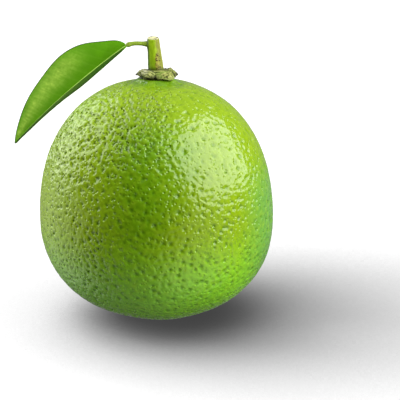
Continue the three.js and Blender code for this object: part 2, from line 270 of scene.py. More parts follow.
def fill(tree, node, inputs):
    """Gives each named socket of the node its value, or the output of another node."""
    for key, value in inputs.items():
        if isinstance(value, bpy.types.NodeSocket):
            tree.links.new(value, node.inputs[key])
        else:
            node.inputs[key].default_value = value


def add(tree, kind, inputs=None, **settings):
    """Adds a node with its settings, and fills its sockets."""
    made = tree.nodes.new(kind)
    for key, value in settings.items():
        setattr(made, key, value)
    fill(tree, made, inputs or {})
    return made


def fade(values, start, end):
    """0 before start, 1 after end, and smooth between them."""
    share = np.clip((values - start) / (end - start), 0, 1)
    return share * share * (3 - 2 * share)


def hump(values, middle, width):
    """1 at the middle, falling off smoothly on both sides."""
    return np.exp(-(((values - middle) / width) ** 2))


def full_turn(count):
    """That many directions, evenly round a full turn."""
    return np.arange(count) / count * 2 * math.pi


def turned_from(angles, middle):
    """How far each angle lies from the middle one, from 0 to pi."""
    return np.abs((angles - middle + math.pi) % (2 * math.pi) - math.pi)


def facing(angles, degrees, width):
    """1 in that direction, falling off smoothly on both sides of it."""
    return hump(turned_from(angles, math.radians(degrees)), 0, width)


def lumps(points, size, seed):
    """Smooth noise from -1 to 1 at each point, with lumps of about that size in the points' unit."""
    shift = Vector((seed, seed, seed))
    return np.array([noise.noise(Vector(p) / size + shift) for p in np.reshape(points, (-1, 3))])


def uneven(points, waves):
    """Lumps of several sizes on one another; each wave is a height, a size and a seed."""
    return sum(height * lumps(points, size, seed) for height, size, seed in waves)


def geodesic(parts):
    """Unit directions and triangles of an icosahedron whose edges are split into parts."""
    g = (1 + math.sqrt(5)) / 2
    corners = [(-1, g, 0), (1, g, 0), (-1, -g, 0), (1, -g, 0), (0, -1, g), (0, 1, g)]
    corners += [(0, -1, -g), (0, 1, -g), (g, 0, -1), (g, 0, 1), (-g, 0, -1), (-g, 0, 1)]
    corners = np.array(corners, float)
    sides = [(0, 11, 5), (0, 5, 1), (0, 1, 7), (0, 7, 10), (0, 10, 11), (1, 5, 9), (5, 11, 4)]
    sides += [(11, 10, 2), (10, 7, 6), (7, 1, 8), (3, 9, 4), (3, 4, 2), (3, 2, 6), (3, 6, 8)]
    sides += [(3, 8, 9), (4, 9, 5), (2, 4, 11), (6, 2, 10), (8, 6, 7), (9, 8, 1)]
    steps = [(i, j) for i in range(parts + 1) for j in range(parts + 1 - i)]
    at = {step: k for k, step in enumerate(steps)}
    shares = np.array([(parts - i - j, i, j) for i, j in steps], float) / parts
    small = [(at[i, j], at[i + 1, j], at[i, j + 1]) for i, j in steps if i + j < parts]
    small += [(at[i + 1, j], at[i + 1, j + 1], at[i, j + 1]) for i, j in steps if i + j < parts - 1]
    small = np.array(small)
    points = np.concatenate([shares @ corners[list(side)] for side in sides])
    points /= np.linalg.norm(points, axis=1)[:, None]
    faces = np.concatenate([small + k * len(steps) for k in range(len(sides))])
    _, first, merged = np.unique(np.round(points, 6), axis=0, return_index=True, return_inverse=True)
    return points[first], merged.ravel()[faces]


def place(name, data):
    """Puts a mesh, a light or the camera into the scene."""
    made = bpy.data.objects.new(name, data)
    bpy.context.scene.collection.objects.link(made)
    return made


def make_piece(name, points_mm, faces, materials, face_materials=None, attributes=None):
    """A smooth mesh object from points in mm, its object at the origin."""
    mesh = bpy.data.meshes.new(name)
    mesh.from_pydata((np.reshape(points_mm, (-1, 3)) * MM).tolist(), [], [list(f) for f in faces])
    for material in materials:
        mesh.materials.append(material)
    if face_materials is not None:
        mesh.polygons.foreach_set("material_index", np.asarray(face_materials, np.int32))
    for key, values in (attributes or {}).items():
        layer = mesh.attributes.new(key, "FLOAT", "POINT")
        layer.data.foreach_set("value", np.ravel(values).astype(np.float32))
    mesh.polygons.foreach_set("use_smooth", np.ones(len(mesh.polygons), bool))
    mesh.update()
    return place(name, mesh)


def dress(piece, cad_node):
    """The piece stands for a CAD node, whose mesh it hides, and moves with the lime."""
    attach(piece, "root")
    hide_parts(cad_node)


def grid_faces(rows, columns, closed=False):
    """Quads of a grid of points stored row by row; closed joins the last column to the first."""
    i, j = np.meshgrid(np.arange(rows - 1), np.arange(columns if closed else columns - 1), indexing="ij")
    right = (j + 1) % columns
    quads = [i * columns + j, i * columns + right, (i + 1) * columns + right, (i + 1) * columns + j]
    return np.stack(quads, axis=-1).reshape(-1, 4)


def tube_faces(rows, columns):
    """A closed tube: the side of the grid and a many-sided face over each end."""
    side = grid_faces(rows, columns, closed=True).tolist()
    return side + [list(range(columns))[::-1], list(range((rows - 1) * columns, rows * columns))]


def sheet_faces(rows, columns):
    """A thin closed sheet of two grids: quads of its top, of its underside and of the strip between."""
    count = rows * columns
    grid = np.arange(count).reshape(rows, columns)
    top = grid_faces(rows, columns)
    under = (top + count)[:, ::-1]
    strip = []
    for rim in (grid[::-1, 0], grid[:, -1], grid[0], grid[-1, ::-1]):
        strip.append(np.stack([rim[:-1], rim[1:], rim[1:] + count, rim[:-1] + count], -1))
    return top, under, np.concatenate(strip)


def smooth_path(points, count):
    """A Catmull-Rom curve through the points, as that many samples."""
    p = np.asarray(points, float)
    p = np.vstack([2 * p[0] - p[1], p, 2 * p[-1] - p[-2]])
    spans = len(p) - 3
    where = np.linspace(0, spans, count)
    k = np.minimum(where.astype(int), spans - 1)
    t = (where - k)[:, None]
    a, b, c, d = p[k], p[k + 1], p[k + 2], p[k + 3]
    return 0.5 * (2 * b + (c - a) * t + (2 * a - 5 * b + 4 * c - d) * t**2 + (3 * b - a - 3 * c + d) * t**3)


# ---------------------------------------------------------------- camera and studio

CAMERA_TARGET = Vector((10.83, 0, 29.06)) * MM
CAMERA_DISTANCE = 0.5
CAMERA_ELEVATION = math.radians(14)
CAMERA_LENS = 180.0  # a fruit 58 mm wide fills 232 of 400 pixels
FRUIT_MIDDLE = Vector((0, 0, 0.029))
FLOOR_SIZE = 6.0


def set_camera():
    """The eye, in front of the fruit and a little above it."""
    data = bpy.data.cameras.new("camera")
    data.lens = CAMERA_LENS
    data.sensor_width = 36.0
    data.clip_start = 0.01
    camera = place("camera", data)
    back = Vector((0, -math.cos(CAMERA_ELEVATION), math.sin(CAMERA_ELEVATION)))
    camera.location = CAMERA_TARGET + CAMERA_DISTANCE * back
    camera.rotation_euler = Euler((math.pi / 2 - CAMERA_ELEVATION, 0, 0))
    bpy.context.scene.camera = camera


def heading(turn, elevation):
    """Unit direction; turn is in degrees from the front, towards +X."""
    around, up = math.radians(turn), math.radians(elevation)
    return Vector((math.sin(around) * math.cos(up), -math.cos(around) * math.cos(up), math.sin(up)))


def softbox(name, turn, elevation, width, height, radiance):
    """Soft light facing the fruit, in metres and degrees; radiance is what a mirror would show."""
    data = bpy.data.lights.new(name, "AREA")
    data.shape = "RECTANGLE"
    data.size = width
    data.size_y = height
    data.energy = radiance * math.pi * width * height
    light = place(name, data)
    towards = heading(turn, elevation)
    light.location = FRUIT_MIDDLE + SOFTBOX_DISTANCE * towards
    light.rotation_euler = towards.to_track_quat("Z", "Y").to_euler()
    light.visible_camera = False
    return light


# where each softbox stands as seen from the fruit, in degrees from the front and above the table
SOFTBOX_DISTANCE = 1.2
SOFTBOXES = {
    "box_right": {"turn": 74, "elevation": 33.5, "width": 1.75, "height": 1.25, "radiance": 6.7},
    "box_left": {"turn": -112, "elevation": 31.5, "width": 1.35, "height": 1.2, "radiance": 4.4},
}

ROOM_DARK = 0.02  # what the rest of the room gives

# broad glows of the room and of the lit table, with the degrees over which each fades to nothing
ROOM_GLOWS = [
    {"turn": -102, "elevation": -22, "radiance": 1.15, "full": 8, "gone": 45},  # lit table on the left
    {"turn": 48, "elevation": -36, "radiance": 1.0, "full": 10, "gone": 46},  # lit table on the right
    {"turn": -60, "elevation": -75, "radiance": 0.25, "full": 10, "gone": 50},  # table under the fruit
    {"turn": -170, "elevation": 15, "radiance": 0.3, "full": 20, "gone": 75},  # bright wall behind
    {"turn": -40, "elevation": 85, "radiance": 0.4, "full": 20, "gone": 60},  # ceiling
]


def set_world():
    """White to the eye; for light and reflections, dark but for the room's glows."""
    world = bpy.data.worlds.new("studio")
    bpy.context.scene.world = world
    world.use_nodes = True
    tree = world.node_tree
    tree.nodes.clear()
    seen = add(tree, "ShaderNodeBackground", {"Color": (1, 1, 1, 1), "Strength": 1.0})
    direction = add(tree, "ShaderNodeTexCoord").outputs["Generated"]
    total = ROOM_DARK
    for glow in ROOM_GLOWS:
        towards = heading(glow["turn"], glow["elevation"])
        aligned = add(tree, "ShaderNodeVectorMath", {0: direction, 1: towards}, operation="DOT_PRODUCT")
        span = {
            "Value": aligned.outputs["Value"],
            "From Min": math.cos(math.radians(glow["gone"])),
            "From Max": math.cos(math.radians(glow["full"])),
            "To Max": glow["radiance"],
        }
        lobe = add(tree, "ShaderNodeMapRange", span, interpolation_type="SMOOTHSTEP")
        total = add(tree, "ShaderNodeMath", {0: lobe.outputs[0], 1: total}, operation="ADD").outputs[0]
    around = add(tree, "ShaderNodeBackground", {"Color": (1, 1, 1, 1), "Strength": total})
    to_eye = add(tree, "ShaderNodeLightPath").outputs["Is Camera Ray"]
    both = add(tree, "ShaderNodeMixShader", {0: to_eye, 1: around.outputs[0], 2: seen.outputs[0]})
    add(tree, "ShaderNodeOutputWorld", {"Surface": both.outputs[0]})


def set_floor():
    """The table that the lime rests on."""
    half = FLOOR_SIZE / 2
    corners = [(-half, -half, 0), (half, -half, 0), (half, half, 0), (-half, half, 0)]
    mesh = bpy.data.meshes.new("floor")
    mesh.from_pydata(corners, [], [(0, 1, 2, 3)])
    mesh.materials.append(glowing_table_with_painted_shadow())
    floor = place("floor", mesh)
    # the room's glows stand for the lit table, which is dark in front of the fruit
    floor.visible_glossy = False
    floor.visible_diffuse = False


# painted light: two soft skies that live only in the table's own glow; the way each lies, as a unit
# direction, and what it gives
PAINTED_TABLE_SKIES = [
    {"towards": (-0.931, 0.099, 0.35), "share": 0.93},
    {"towards": (0.623, -0.078, 0.779), "share": 0.38},
]
TABLE_BOUNCE = 0.055  # painted bounce light: what reaches the table under the lime off the table round it
SHADOW_POWER = 6.4  # how fast the painted shadow darkens the table as the lime shuts out more of the sky


def glowing_table_with_painted_shadow():
    """White table that glows by itself, with painted light from two broad skies: white in the open, a painted
    grey shadow where the lime shuts them out.
    """
    material = bpy.data.materials.new("glowing_table_with_painted_shadow")
    material.use_nodes = True
    tree = material.node_tree
    tree.nodes.clear()
    strength = TABLE_BOUNCE
    for sky in PAINTED_TABLE_SKIES:
        x, y, z = sky["towards"]
        brightest = add(tree, "ShaderNodeCombineXYZ", {"X": x, "Y": y, "Z": z}).outputs[0]
        open_sky = add(tree, "ShaderNodeAmbientOcclusion", {"Distance": 1.0, "Normal": brightest})
        given = add(tree, "ShaderNodeMath", {0: open_sky.outputs["AO"], 1: SHADOW_POWER}, operation="POWER")
        lit = {0: given.outputs[0], 1: sky["share"], 2: strength}
        strength = add(tree, "ShaderNodeMath", lit, operation="MULTIPLY_ADD").outputs[0]
    glow = add(tree, "ShaderNodeEmission", {"Color": (1, 1, 1, 1), "Strength": strength})
    add(tree, "ShaderNodeOutputMaterial", {"Surface": glow.outputs[0]})
    return material


def set_studio():
    """Camera, room, table and softboxes; gives the lights by name."""
    bpy.context.scene.view_settings.view_transform = "Standard"
    set_camera()
    set_world()
    set_floor()
    return {name: softbox(name, **rule) for name, rule in SOFTBOXES.items()}


def pass_by(light, leaf):
    """The light casts no shadow of the leaf, as if a second lamp stood in under the leaf."""
    blockers = bpy.data.collections.new("blockers")
    blockers.objects.link(leaf)
    blockers.collection_objects[0].light_linking.link_state = "EXCLUDE"
    light.light_linking.blocker_collection = blockers


# ---------------------------------------------------------------- materials


def new_material(name):
    """A material, its node tree and its shader."""
    material = bpy.data.materials.new(name)
    material.use_nodes = True
    tree = material.node_tree
    return material, tree, tree.nodes["Principled BSDF"]


def waxed_lime_rind():
    """Living citrus rind under its natural wax: yellowish green, greener in front and below, satin gloss;
    painted lighter below and on the sunny cheek as light, and painted darker on the +X flank and round the
    calyx as shade.
    """
    material, tree, shader = new_material("waxed_lime_rind")
    where = add(tree, "ShaderNodeTexCoord").outputs["Object"]
    cloud = add(tree, "ShaderNodeTexNoise", {"Vector": where, "Scale": 1 / (13 * MM), "Detail": 3.0})
    speck = add(tree, "ShaderNodeTexNoise", {"Vector": where, "Scale": 1 / (1.4 * MM), "Detail": 2.0})
    sides = add(tree, "ShaderNodeSeparateXYZ", {0: where})
    from_crown = add(tree, "ShaderNodeVectorMath", {0: where, 1: CALYX_SHADOW_POINT}, operation="DISTANCE")
    # a band with an uneven edge runs down the front, where the fruit hung in the shade of its leaves
    band = {"Vector": where, "Location": BAND_MIDDLE, "Rotation": BAND_TURN, "Scale": BAND_STRETCH}
    in_band = add(tree, "ShaderNodeMapping", band, vector_type="TEXTURE").outputs[0]
    off_band = add(tree, "ShaderNodeVectorMath", {0: in_band}, operation="LENGTH").outputs["Value"]
    uneven_edge = {0: cloud.outputs["Fac"], 1: 10 * MM, 2: off_band}
    band_edge = add(tree, "ShaderNodeMath", uneven_edge, operation="MULTIPLY_ADD").outputs[0]
    # what each zone follows, where it starts, where it is full, and how much of its colour shows there
    zones = {
        "out_of_band": (band_edge, 9 * MM, 22 * MM, 1.0),
        "sunny": (sides.outputs["X"], -2 * MM, -22 * MM, 1.0),
        "low": (sides.outputs["Z"], 29 * MM, 9 * MM, 1.0),
        "painted_shade_flank": (sides.outputs["X"], 19 * MM, 28 * MM, 0.9),
        "under_bulge": (sides.outputs["Z"], 46 * MM, 32 * MM, 1.0),
        "crown": (from_crown.outputs["Value"], 9.5 * MM, 4.5 * MM, 0.9),
    }
    share = {}
    for zone, (follows, start, full, most) in zones.items():
        run = {"Value": follows, "From Min": start, "From Max": full, "To Max": most}
        share[zone] = add(tree, "ShaderNodeMapRange", run, interpolation_type="SMOOTHSTEP").outputs[0]
    painted_neighbour_shade = add(tree, "ShaderNodeMath", {0: share["painted_shade_flank"], 1: share["under_bulge"]}, operation="MULTIPLY")
    speckled = {"Value": speck.outputs["Fac"], "From Min": 0.45, "From Max": 0.75, "To Max": 0.3}
    freckles = add(tree, "ShaderNodeMapRange", speckled)
    # the dots darken with the depth of each pit: partly the glands' own darker green, partly painted shade in
    # the pits
    glands = add(tree, "ShaderNodeAttribute", attribute_name="gland").outputs["Fac"]
    dotted = {"Value": glands, "From Min": 0.12, "From Max": 0.6, "To Max": 0.43}
    dots = add(tree, "ShaderNodeMapRange", dotted)
    colour = linear("#5d8808")
    coats = [
        (share["out_of_band"], "#739009"),
        (share["sunny"], "#91b117"),  # the cheek on -X is the palest: yellower where it hung in the sun, and painted lighter as light from the left
        # painted light: the lower rind is painted lighter, standing in for light thrown up off the table
        (share["low"], "#80c22a"),
        (painted_neighbour_shade.outputs[0], "#5b903c"),  # painted shade: the flank on +X is painted greener and darker, as the shade and green light of a neighbouring fruit
        (share["crown"], "#547c14"),  # painted shadow: the rind round the calyx is painted darker and greener, as the calyx's shadow
        (freckles.outputs[0], "#95b022"),
        (dots.outputs[0], "#3a6a08"),
    ]
    for amount, coat in coats:
        laid = {"Factor": amount, "A": colour, "B": linear(coat)}
        colour = add(tree, "ShaderNodeMix", laid, data_type="RGBA").outputs["Result"]
    wax = {"Value": speck.outputs["Fac"], "From Min": 0.3, "From Max": 0.7, "To Min": 0.12, "To Max": 0.18}
    rough = add(tree, "ShaderNodeMapRange", wax).outputs[0]
    # pores between the glands, 0.3 mm across in life and drawn 1 mm apart so that they show
    pores = add(tree, "ShaderNodeTexVoronoi", {"Vector": where, "Scale": 1 / (1.0 * MM)})
    hollow = {"Value": pores.outputs["Distance"], "From Max": 0.42}
    pits = add(tree, "ShaderNodeMapRange", hollow, interpolation_type="SMOOTHSTEP")
    # they are deepest where the rind is coarse
    coarse = add(tree, "ShaderNodeAttribute", attribute_name="coarse").outputs["Fac"]
    deeper = add(tree, "ShaderNodeMath", {0: coarse, 1: 1.56, 2: 1.0}, operation="MULTIPLY_ADD")
    depth = add(tree, "ShaderNodeMath", {0: pits.outputs[0], 1: deeper.outputs[0]}, operation="MULTIPLY")
    bump = add(tree, "ShaderNodeBump", {"Height": depth.outputs[0], "Distance": 0.11 * MM}).outputs[0]
    fill(tree, shader, {"Base Color": colour, "Roughness": rough, "IOR": 1.4, "Normal": bump})
    return material


def dried_calyx():
    """Papery sepals dried on the fruit: grey green and matt, brown to black at their shrivelled tips; painted
    shade in the creases, the crack and round the stalk, painted light on the ridges.
    """
    material, tree, shader = new_material("dried_calyx")
    where = add(tree, "ShaderNodeTexCoord").outputs["Object"]
    mottle = add(tree, "ShaderNodeTexNoise", {"Vector": where, "Scale": 1 / (0.9 * MM), "Detail": 4.0})
    # painted shade in the creases and painted light along the ridges
    painted_fold_shading = add(tree, "ShaderNodeAttribute", attribute_name="painted_fold_shading").outputs["Fac"]
    both = add(tree, "ShaderNodeMix", {"Factor": 0.8, "A": mottle.outputs["Fac"], "B": painted_fold_shading})
    tone = add(tree, "ShaderNodeValToRGB", {"Fac": both.outputs["Result"]})
    ramp = tone.color_ramp
    ramp.elements[0].position = 0.2
    ramp.elements[0].color = linear("#262c06")
    ramp.elements[1].position = 0.8
    ramp.elements[1].color = linear("#989c56")
    middle = ramp.elements.new(0.4)
    middle.color = linear("#646c26")
    colour = tone.outputs["Color"]
    # each coat follows a mark on the mesh, and the bleached lobe is streaked; the dead mark holds the dead
    # tips and painted shade round the stalk
    coats = [
        ("living", 1.0, "#607c20"),
        ("bleached", mottle.outputs["Fac"], "#cac8a8"),
        ("dead", 1.0, "#2b2818"),
    ]
    for mark, share, coat in coats:
        marked = add(tree, "ShaderNodeAttribute", attribute_name=mark).outputs["Fac"]
        amount = add(tree, "ShaderNodeMath", {0: marked, 1: share}, operation="MULTIPLY").outputs[0]
        laid = {"Factor": amount, "A": colour, "B": linear(coat)}
        colour = add(tree, "ShaderNodeMix", laid, data_type="RGBA").outputs["Result"]
    fine = add(tree, "ShaderNodeTexNoise", {"Vector": where, "Scale": 1 / (0.25 * MM), "Detail": 2.0})
    bump = add(tree, "ShaderNodeBump", {"Height": fine.outputs["Fac"], "Distance": 0.12 * MM}).outputs[0]
    fill(tree, shader, {"Base Color": colour, "Roughness": 0.78, "Specular IOR Level": 0.25, "Normal": bump})
    return material


def green_twig_bark():
    """Young citrus bark: smooth yellowish green, a cream cork scar with brown warts, one side weathered;
    painted shade at the foot, down the left edge and lower down.
    """
    material, tree, shader = new_material("green_twig_bark")
    where = add(tree, "ShaderNodeTexCoord").outputs["Object"]
    upright = add(tree, "ShaderNodeMapping", {"Vector": where, "Scale": (1.0, 1.0, 0.25)}).outputs[0]
    fibre = add(tree, "ShaderNodeTexNoise", {"Vector": upright, "Scale": 1 / (0.35 * MM), "Detail": 3.0})
    skin = {"Factor": fibre.outputs["Fac"], "A": linear("#94ba08"), "B": linear("#b0d40e")}
    colour = add(tree, "ShaderNodeMix", skin, data_type="RGBA").outputs["Result"]
    # each coat follows a mark on the mesh, and the fibres vary it between two tones
    coats = [
        ("shaded", "#466004", "#466004"),
        # the damp coat is painted shade at the stalk's foot
        ("cork", "#a3942e", "#d8cc60"),
        ("weathered", "#5c6408", "#8a8c30"),
        ("damp", "#3e4a0a", "#3e4a0a"),
        ("wart", "#3c1e04", "#3c1e04"),
    ]
    for mark, dark, light in coats:
        tones = {"Factor": fibre.outputs["Fac"], "A": linear(dark), "B": linear(light)}
        coat = add(tree, "ShaderNodeMix", tones, data_type="RGBA").outputs["Result"]
        marked = add(tree, "ShaderNodeAttribute", attribute_name=mark).outputs["Fac"]
        laid = {"Factor": marked, "A": colour, "B": coat}
        colour = add(tree, "ShaderNodeMix", laid, data_type="RGBA").outputs["Result"]
    bump = add(tree, "ShaderNodeBump", {"Height": fibre.outputs["Fac"], "Distance": 0.05 * MM}).outputs[0]
    fill(tree, shader, {"Base Color": colour, "Roughness": 0.6, "Specular IOR Level": 0.3, "Normal": bump})
    return material


def clipped_wood():
    """The twig's clipped end: damp cream wood, browned in places along the bark."""
    material, tree, shader = new_material("clipped_wood")
    where = add(tree, "ShaderNodeTexCoord").outputs["Object"]
    grain = add(tree, "ShaderNodeTexNoise", {"Vector": where, "Scale": 1 / (0.4 * MM), "Detail": 3.0})
    browned = add(tree, "ShaderNodeAttribute", attribute_name="browned")
    colour = linear("#a8a674")
    for amount, coat in [(grain.outputs["Fac"], "#c9c898"), (browned.outputs["Fac"], "#4a4228")]:
        laid = {"Factor": amount, "A": colour, "B": linear(coat)}
        colour = add(tree, "ShaderNodeMix", laid, data_type="RGBA").outputs["Result"]
    bump = add(tree, "ShaderNodeBump", {"Height": grain.outputs["Fac"], "Distance": 0.05 * MM}).outputs[0]
    fill(tree, shader, {"Base Color": colour, "Roughness": 0.7, "Normal": bump})
    return material


def leaf_stalk_skin():
    """Smooth living skin of the leaf stalk: yellowish green, painted olive along its top, its groove and
    below as shade.
    """
    material, tree, shader = new_material("leaf_stalk_skin")
    where = add(tree, "ShaderNodeTexCoord").outputs["Object"]
    lengthwise = add(tree, "ShaderNodeMapping", {"Vector": where, "Scale": (0.15, 1.0, 1.0)}).outputs[0]
    fibre = add(tree, "ShaderNodeTexNoise", {"Vector": lengthwise, "Scale": 1 / (0.3 * MM), "Detail": 2.0})
    olive = add(tree, "ShaderNodeAttribute", attribute_name="olive")
    colour = linear("#88a822")
    for amount, coat in [(fibre.outputs["Fac"], "#a8c448"), (olive.outputs["Fac"], "#4c5c0a")]:
        laid = {"Factor": amount, "A": colour, "B": linear(coat)}
        colour = add(tree, "ShaderNodeMix", laid, data_type="RGBA").outputs["Result"]
    bump = add(tree, "ShaderNodeBump", {"Height": fibre.outputs["Fac"], "Distance": 0.03 * MM}).outputs[0]
    fill(tree, shader, {"Base Color": colour, "Roughness": 0.4, "IOR": 1.45, "Normal": bump})
    return material


def waxy_leaf_face():
    """Upper face of a citrus leaf: a dull wax film over fresh green, with a pale midrib and faint veins; a
    painted highlight along each half, the front half and the edges painted darker as shade.
    """
    material, tree, shader = new_material("waxy_leaf_face")
    where = add(tree, "ShaderNodeTexCoord").outputs["Object"]
    cloud = add(tree, "ShaderNodeTexNoise", {"Vector": where, "Scale": 1 / (3.5 * MM), "Detail": 3.0})
    mottle = add(tree, "ShaderNodeTexNoise", {"Vector": where, "Scale": 1 / (0.8 * MM), "Detail": 4.0})
    spots = mottle.outputs["Fac"]
    patchy = {"Value": spots, "From Min": 0.35, "From Max": 0.65, "To Min": 0.55, "To Max": 0.95}
    patches = add(tree, "ShaderNodeMapRange", patchy)
    green = {"Factor": cloud.outputs["Fac"], "A": linear("#467e02"), "B": linear("#599705")}
    colour = add(tree, "ShaderNodeMix", green, data_type="RGBA").outputs["Result"]
    # each coat follows a mark on the mesh; the painted highlight is patchy, the veins are faint, and the
    # front half is painted deeper than the rest as shade
    coats = [
        ("painted_highlight", patches.outputs[0], "#a3c748"),
        ("vein", 0.1, "#83b036"),
        ("painted_shade_front_half", 1.0, "#1f4004"),
        ("midrib", 1.0, "#a4c458"),
        ("margin", 1.0, "#182604"),
    ]
    for mark, share, coat in coats:
        marked = add(tree, "ShaderNodeAttribute", attribute_name=mark).outputs["Fac"]
        amount = add(tree, "ShaderNodeMath", {0: marked, 1: share}, operation="MULTIPLY").outputs[0]
        laid = {"Factor": amount, "A": colour, "B": linear(coat)}
        colour = add(tree, "ShaderNodeMix", laid, data_type="RGBA").outputs["Result"]
    # the cuticle's cells, far too fine to show, drawn as a grain 0.5 mm wide
    cells = add(tree, "ShaderNodeTexNoise", {"Vector": where, "Scale": 1 / (0.5 * MM), "Detail": 2.0})
    bump = add(tree, "ShaderNodeBump", {"Height": cells.outputs["Fac"], "Distance": 0.02 * MM}).outputs[0]
    fill(tree, shader, {"Base Color": colour, "Roughness": 0.45, "IOR": 1.4, "Normal": bump})
    fill(tree, shader, {"Specular IOR Level": 0.02})  # the wax has next to no sheen
    return material


def matt_leaf_underside():
    """Underside of a citrus leaf: no gloss, paler and greyer, with the midrib and veins standing out."""
    material, tree, shader = new_material("matt_leaf_underside")
    where = add(tree, "ShaderNodeTexCoord").outputs["Object"]
    cloud = add(tree, "ShaderNodeTexNoise", {"Vector": where, "Scale": 1 / (2.5 * MM), "Detail": 3.0})
    veins = add(tree, "ShaderNodeAttribute", attribute_name="vein")
    midrib = add(tree, "ShaderNodeAttribute", attribute_name="midrib")
    colour = linear("#71973c")
    for kind, coat in [(cloud, "#8bae52"), (veins, "#a5c26c"), (midrib, "#bdd486")]:
        amount = kind.outputs["Fac"]
        laid = {"Factor": amount, "A": colour, "B": linear(coat)}
        colour = add(tree, "ShaderNodeMix", laid, data_type="RGBA").outputs["Result"]
    # the cells of this side, drawn as a grain 0.4 mm wide
    cells = add(tree, "ShaderNodeTexNoise", {"Vector": where, "Scale": 1 / (0.4 * MM), "Detail": 2.0})
    bump = add(tree, "ShaderNodeBump", {"Height": cells.outputs["Fac"], "Distance": 0.04 * MM}).outputs[0]
    fill(tree, shader, {"Base Color": colour, "Roughness": 0.65, "IOR": 1.4, "Normal": bump})
    return material


# ---------------------------------------------------------------- rind


def rind_radius(directions):
    """Distance in mm from the heart of the fruit to its skin, for unit directions."""
    x, y, z = directions.T
    level = np.hypot(x, y)
    half_height = np.where(z > 0, CROWN_HEIGHT, BLOSSOM_DEPTH)
    roundness = np.where(z > 0, CROWN_ROUNDNESS, BLOSSOM_ROUNDNESS)
    across = (level / (FRUIT_WIDTH / 2)) ** roundness
    along = (np.abs(z) / half_height) ** roundness
    lean = LEAN * x * z
    flute = FLUTE_DEPTH * np.cos(FLUTES * np.arctan2(y, x) + FLUTE_PHASE) * (2 * level * z) ** 2
    return (across + along) ** (-1 / roundness) * (1 - lean + flute)


def gland_pits(points, rule):
    """Depth in mm and darkness from 0 to 1 that one kind of gland gives each point of the rind."""
    random = np.random.default_rng(rule["seed"])
    seats, _ = geodesic(rule["parts"])
    step = ICOSAHEDRON_EDGE / rule["parts"]
    seats = seats + random.normal(0, rule["jitter"] * step, seats.shape)
    seats /= np.linalg.norm(seats, axis=1)[:, None]
    seats *= rind_radius(seats)[:, None]
    sizes = random.uniform(*GLAND_SIZES, len(seats)) * rule["radius"]
    depths = random.uniform(*GLAND_DEPTHS, len(seats)) * rule["depth"]
    tree = KDTree(len(seats))
    for k, seat in enumerate(seats):
        tree.insert(seat, k)
    tree.balance()
    depth = np.zeros(len(points))
    dark = np.zeros(len(points))
    for k, point in enumerate(points):
        for _, seat, distance in tree.find_n(point, 2):
            pit = math.exp(-((distance / sizes[seat]) ** 2))
            depth[k] = max(depth[k], depths[seat] * pit)
            # the darkness follows the pit's depth: partly the gland's own colour, partly painted shade in the
            # pit
            dark[k] = max(dark[k], depths[seat] / rule["depth"] * pit)
    return depth, np.clip(dark, 0, 1)


def crown_rise(radius):
    """The low ring of rind round the calyx, and the socket inside it."""
    ring = COLLAR_HEIGHT * hump(np.maximum(radius, COLLAR_RADIUS), COLLAR_RADIUS, COLLAR_WIDTH)
    return ring - (SOCKET_DEPTH + COLLAR_HEIGHT) * (1 - fade(radius, SOCKET_RADIUS, COLLAR_RADIUS))


def make_rind():
    """The fruit's skin with its glands, its socket for the calyx and the flat spot that it rests on."""
    directions, faces = geodesic(RIND_PARTS)
    base = directions * rind_radius(directions)[:, None]
    height = base[:, 2] + WIDEST_Z
    radius = np.hypot(base[:, 0], base[:, 1])
    crown = fade(base[:, 2], 0, CROWN_HEIGHT * 0.5)
    near_calyx = crown * (1 - fade(radius, *GLANDS_OFF_CALYX))
    keep = (1 - near_calyx) * fade(height, *GLANDS_OFF_FOOT)
    # the glands are deeper on the sunny cheek, and deepest over the shoulder above it
    shoulder = fade(height + SHOULDER_TILT * base[:, 1], *SHOULDER_HEIGHTS)
    shoulder *= fade(radius, *SHOULDER_OFF_CALYX) * fade(base[:, 0], *SHOULDER_SIDE)
    cheek = fade(base[:, 0], *CHEEK_SIDE) * (LOW_CHEEK + (1 - LOW_CHEEK) * fade(height, *CHEEK_HEIGHTS))
    pits = np.zeros(len(base))
    dark = np.zeros(len(base))
    for rule in (LARGE_GLANDS, SMALL_GLANDS):
        depth, darkness = gland_pits(base, rule)
        deeper = 1 + rule["deeper_on_shoulder"] * shoulder + rule["deeper_on_cheek"] * cheek
        pits = np.maximum(pits, depth * deeper)
        dark += rule["darkness"] * darkness
    lift = (uneven(base, RIND_SWELLS) - pits) * keep
    points = base + directions * lift[:, None]
    points[:, 2] += crown * crown_rise(radius) + WIDEST_Z
    points[:, 2] = np.maximum(points[:, 2], 0)
    marks = {"gland": np.clip(dark, 0, 1) * keep, "coarse": shoulder + cheek}
    return make_piece("rind", points, faces, [waxed_lime_rind()], attributes=marks)


# ---------------------------------------------------------------- calyx


def round_the_rim(key, angles):
    """One measure of the calyx's rim in each direction, eased between the directions that are set."""
    measures = dict(zip(RIM_MEASURES, np.array(CALYX_ROUND, float).T))
    turns = np.concatenate([measures["towards"] + full for full in (-360, 0, 360)])
    values = np.tile(measures[key], 3)
    around = np.degrees(angles) % 360
    k = np.searchsorted(turns, around, side="right") - 1
    share = fade(around, turns[k], turns[k + 1])
    return values[k] * (1 - share) + values[k + 1] * share


def calyx_waves(circle, radius, out, in_front):
    """Height in mm of the pleats out to the tips, the creases round the front and the crumples all over."""
    striped = np.stack([4 * circle[:, 0], 4 * circle[:, 1], 0.3 * radius], axis=-1)
    pleats = uneven(striped, CALYX_PLEATS) * fade(out, 0.1, 0.6) * (1 - 0.7 * in_front)
    bends = math.pi * (radius / CALYX_CREASE_SPACING + uneven(striped, CREASE_WAVER))
    creases = CALYX_CREASE * (np.abs(np.sin(bends)) - 0.62) * (0.2 + 0.8 * in_front)
    creases *= np.sin(math.pi * out) ** 0.5
    crumples = uneven(radius[:, None] * circle, CALYX_CRUMPLES)
    return (pleats + creases + crumples) * fade(out, 0, 0.15)


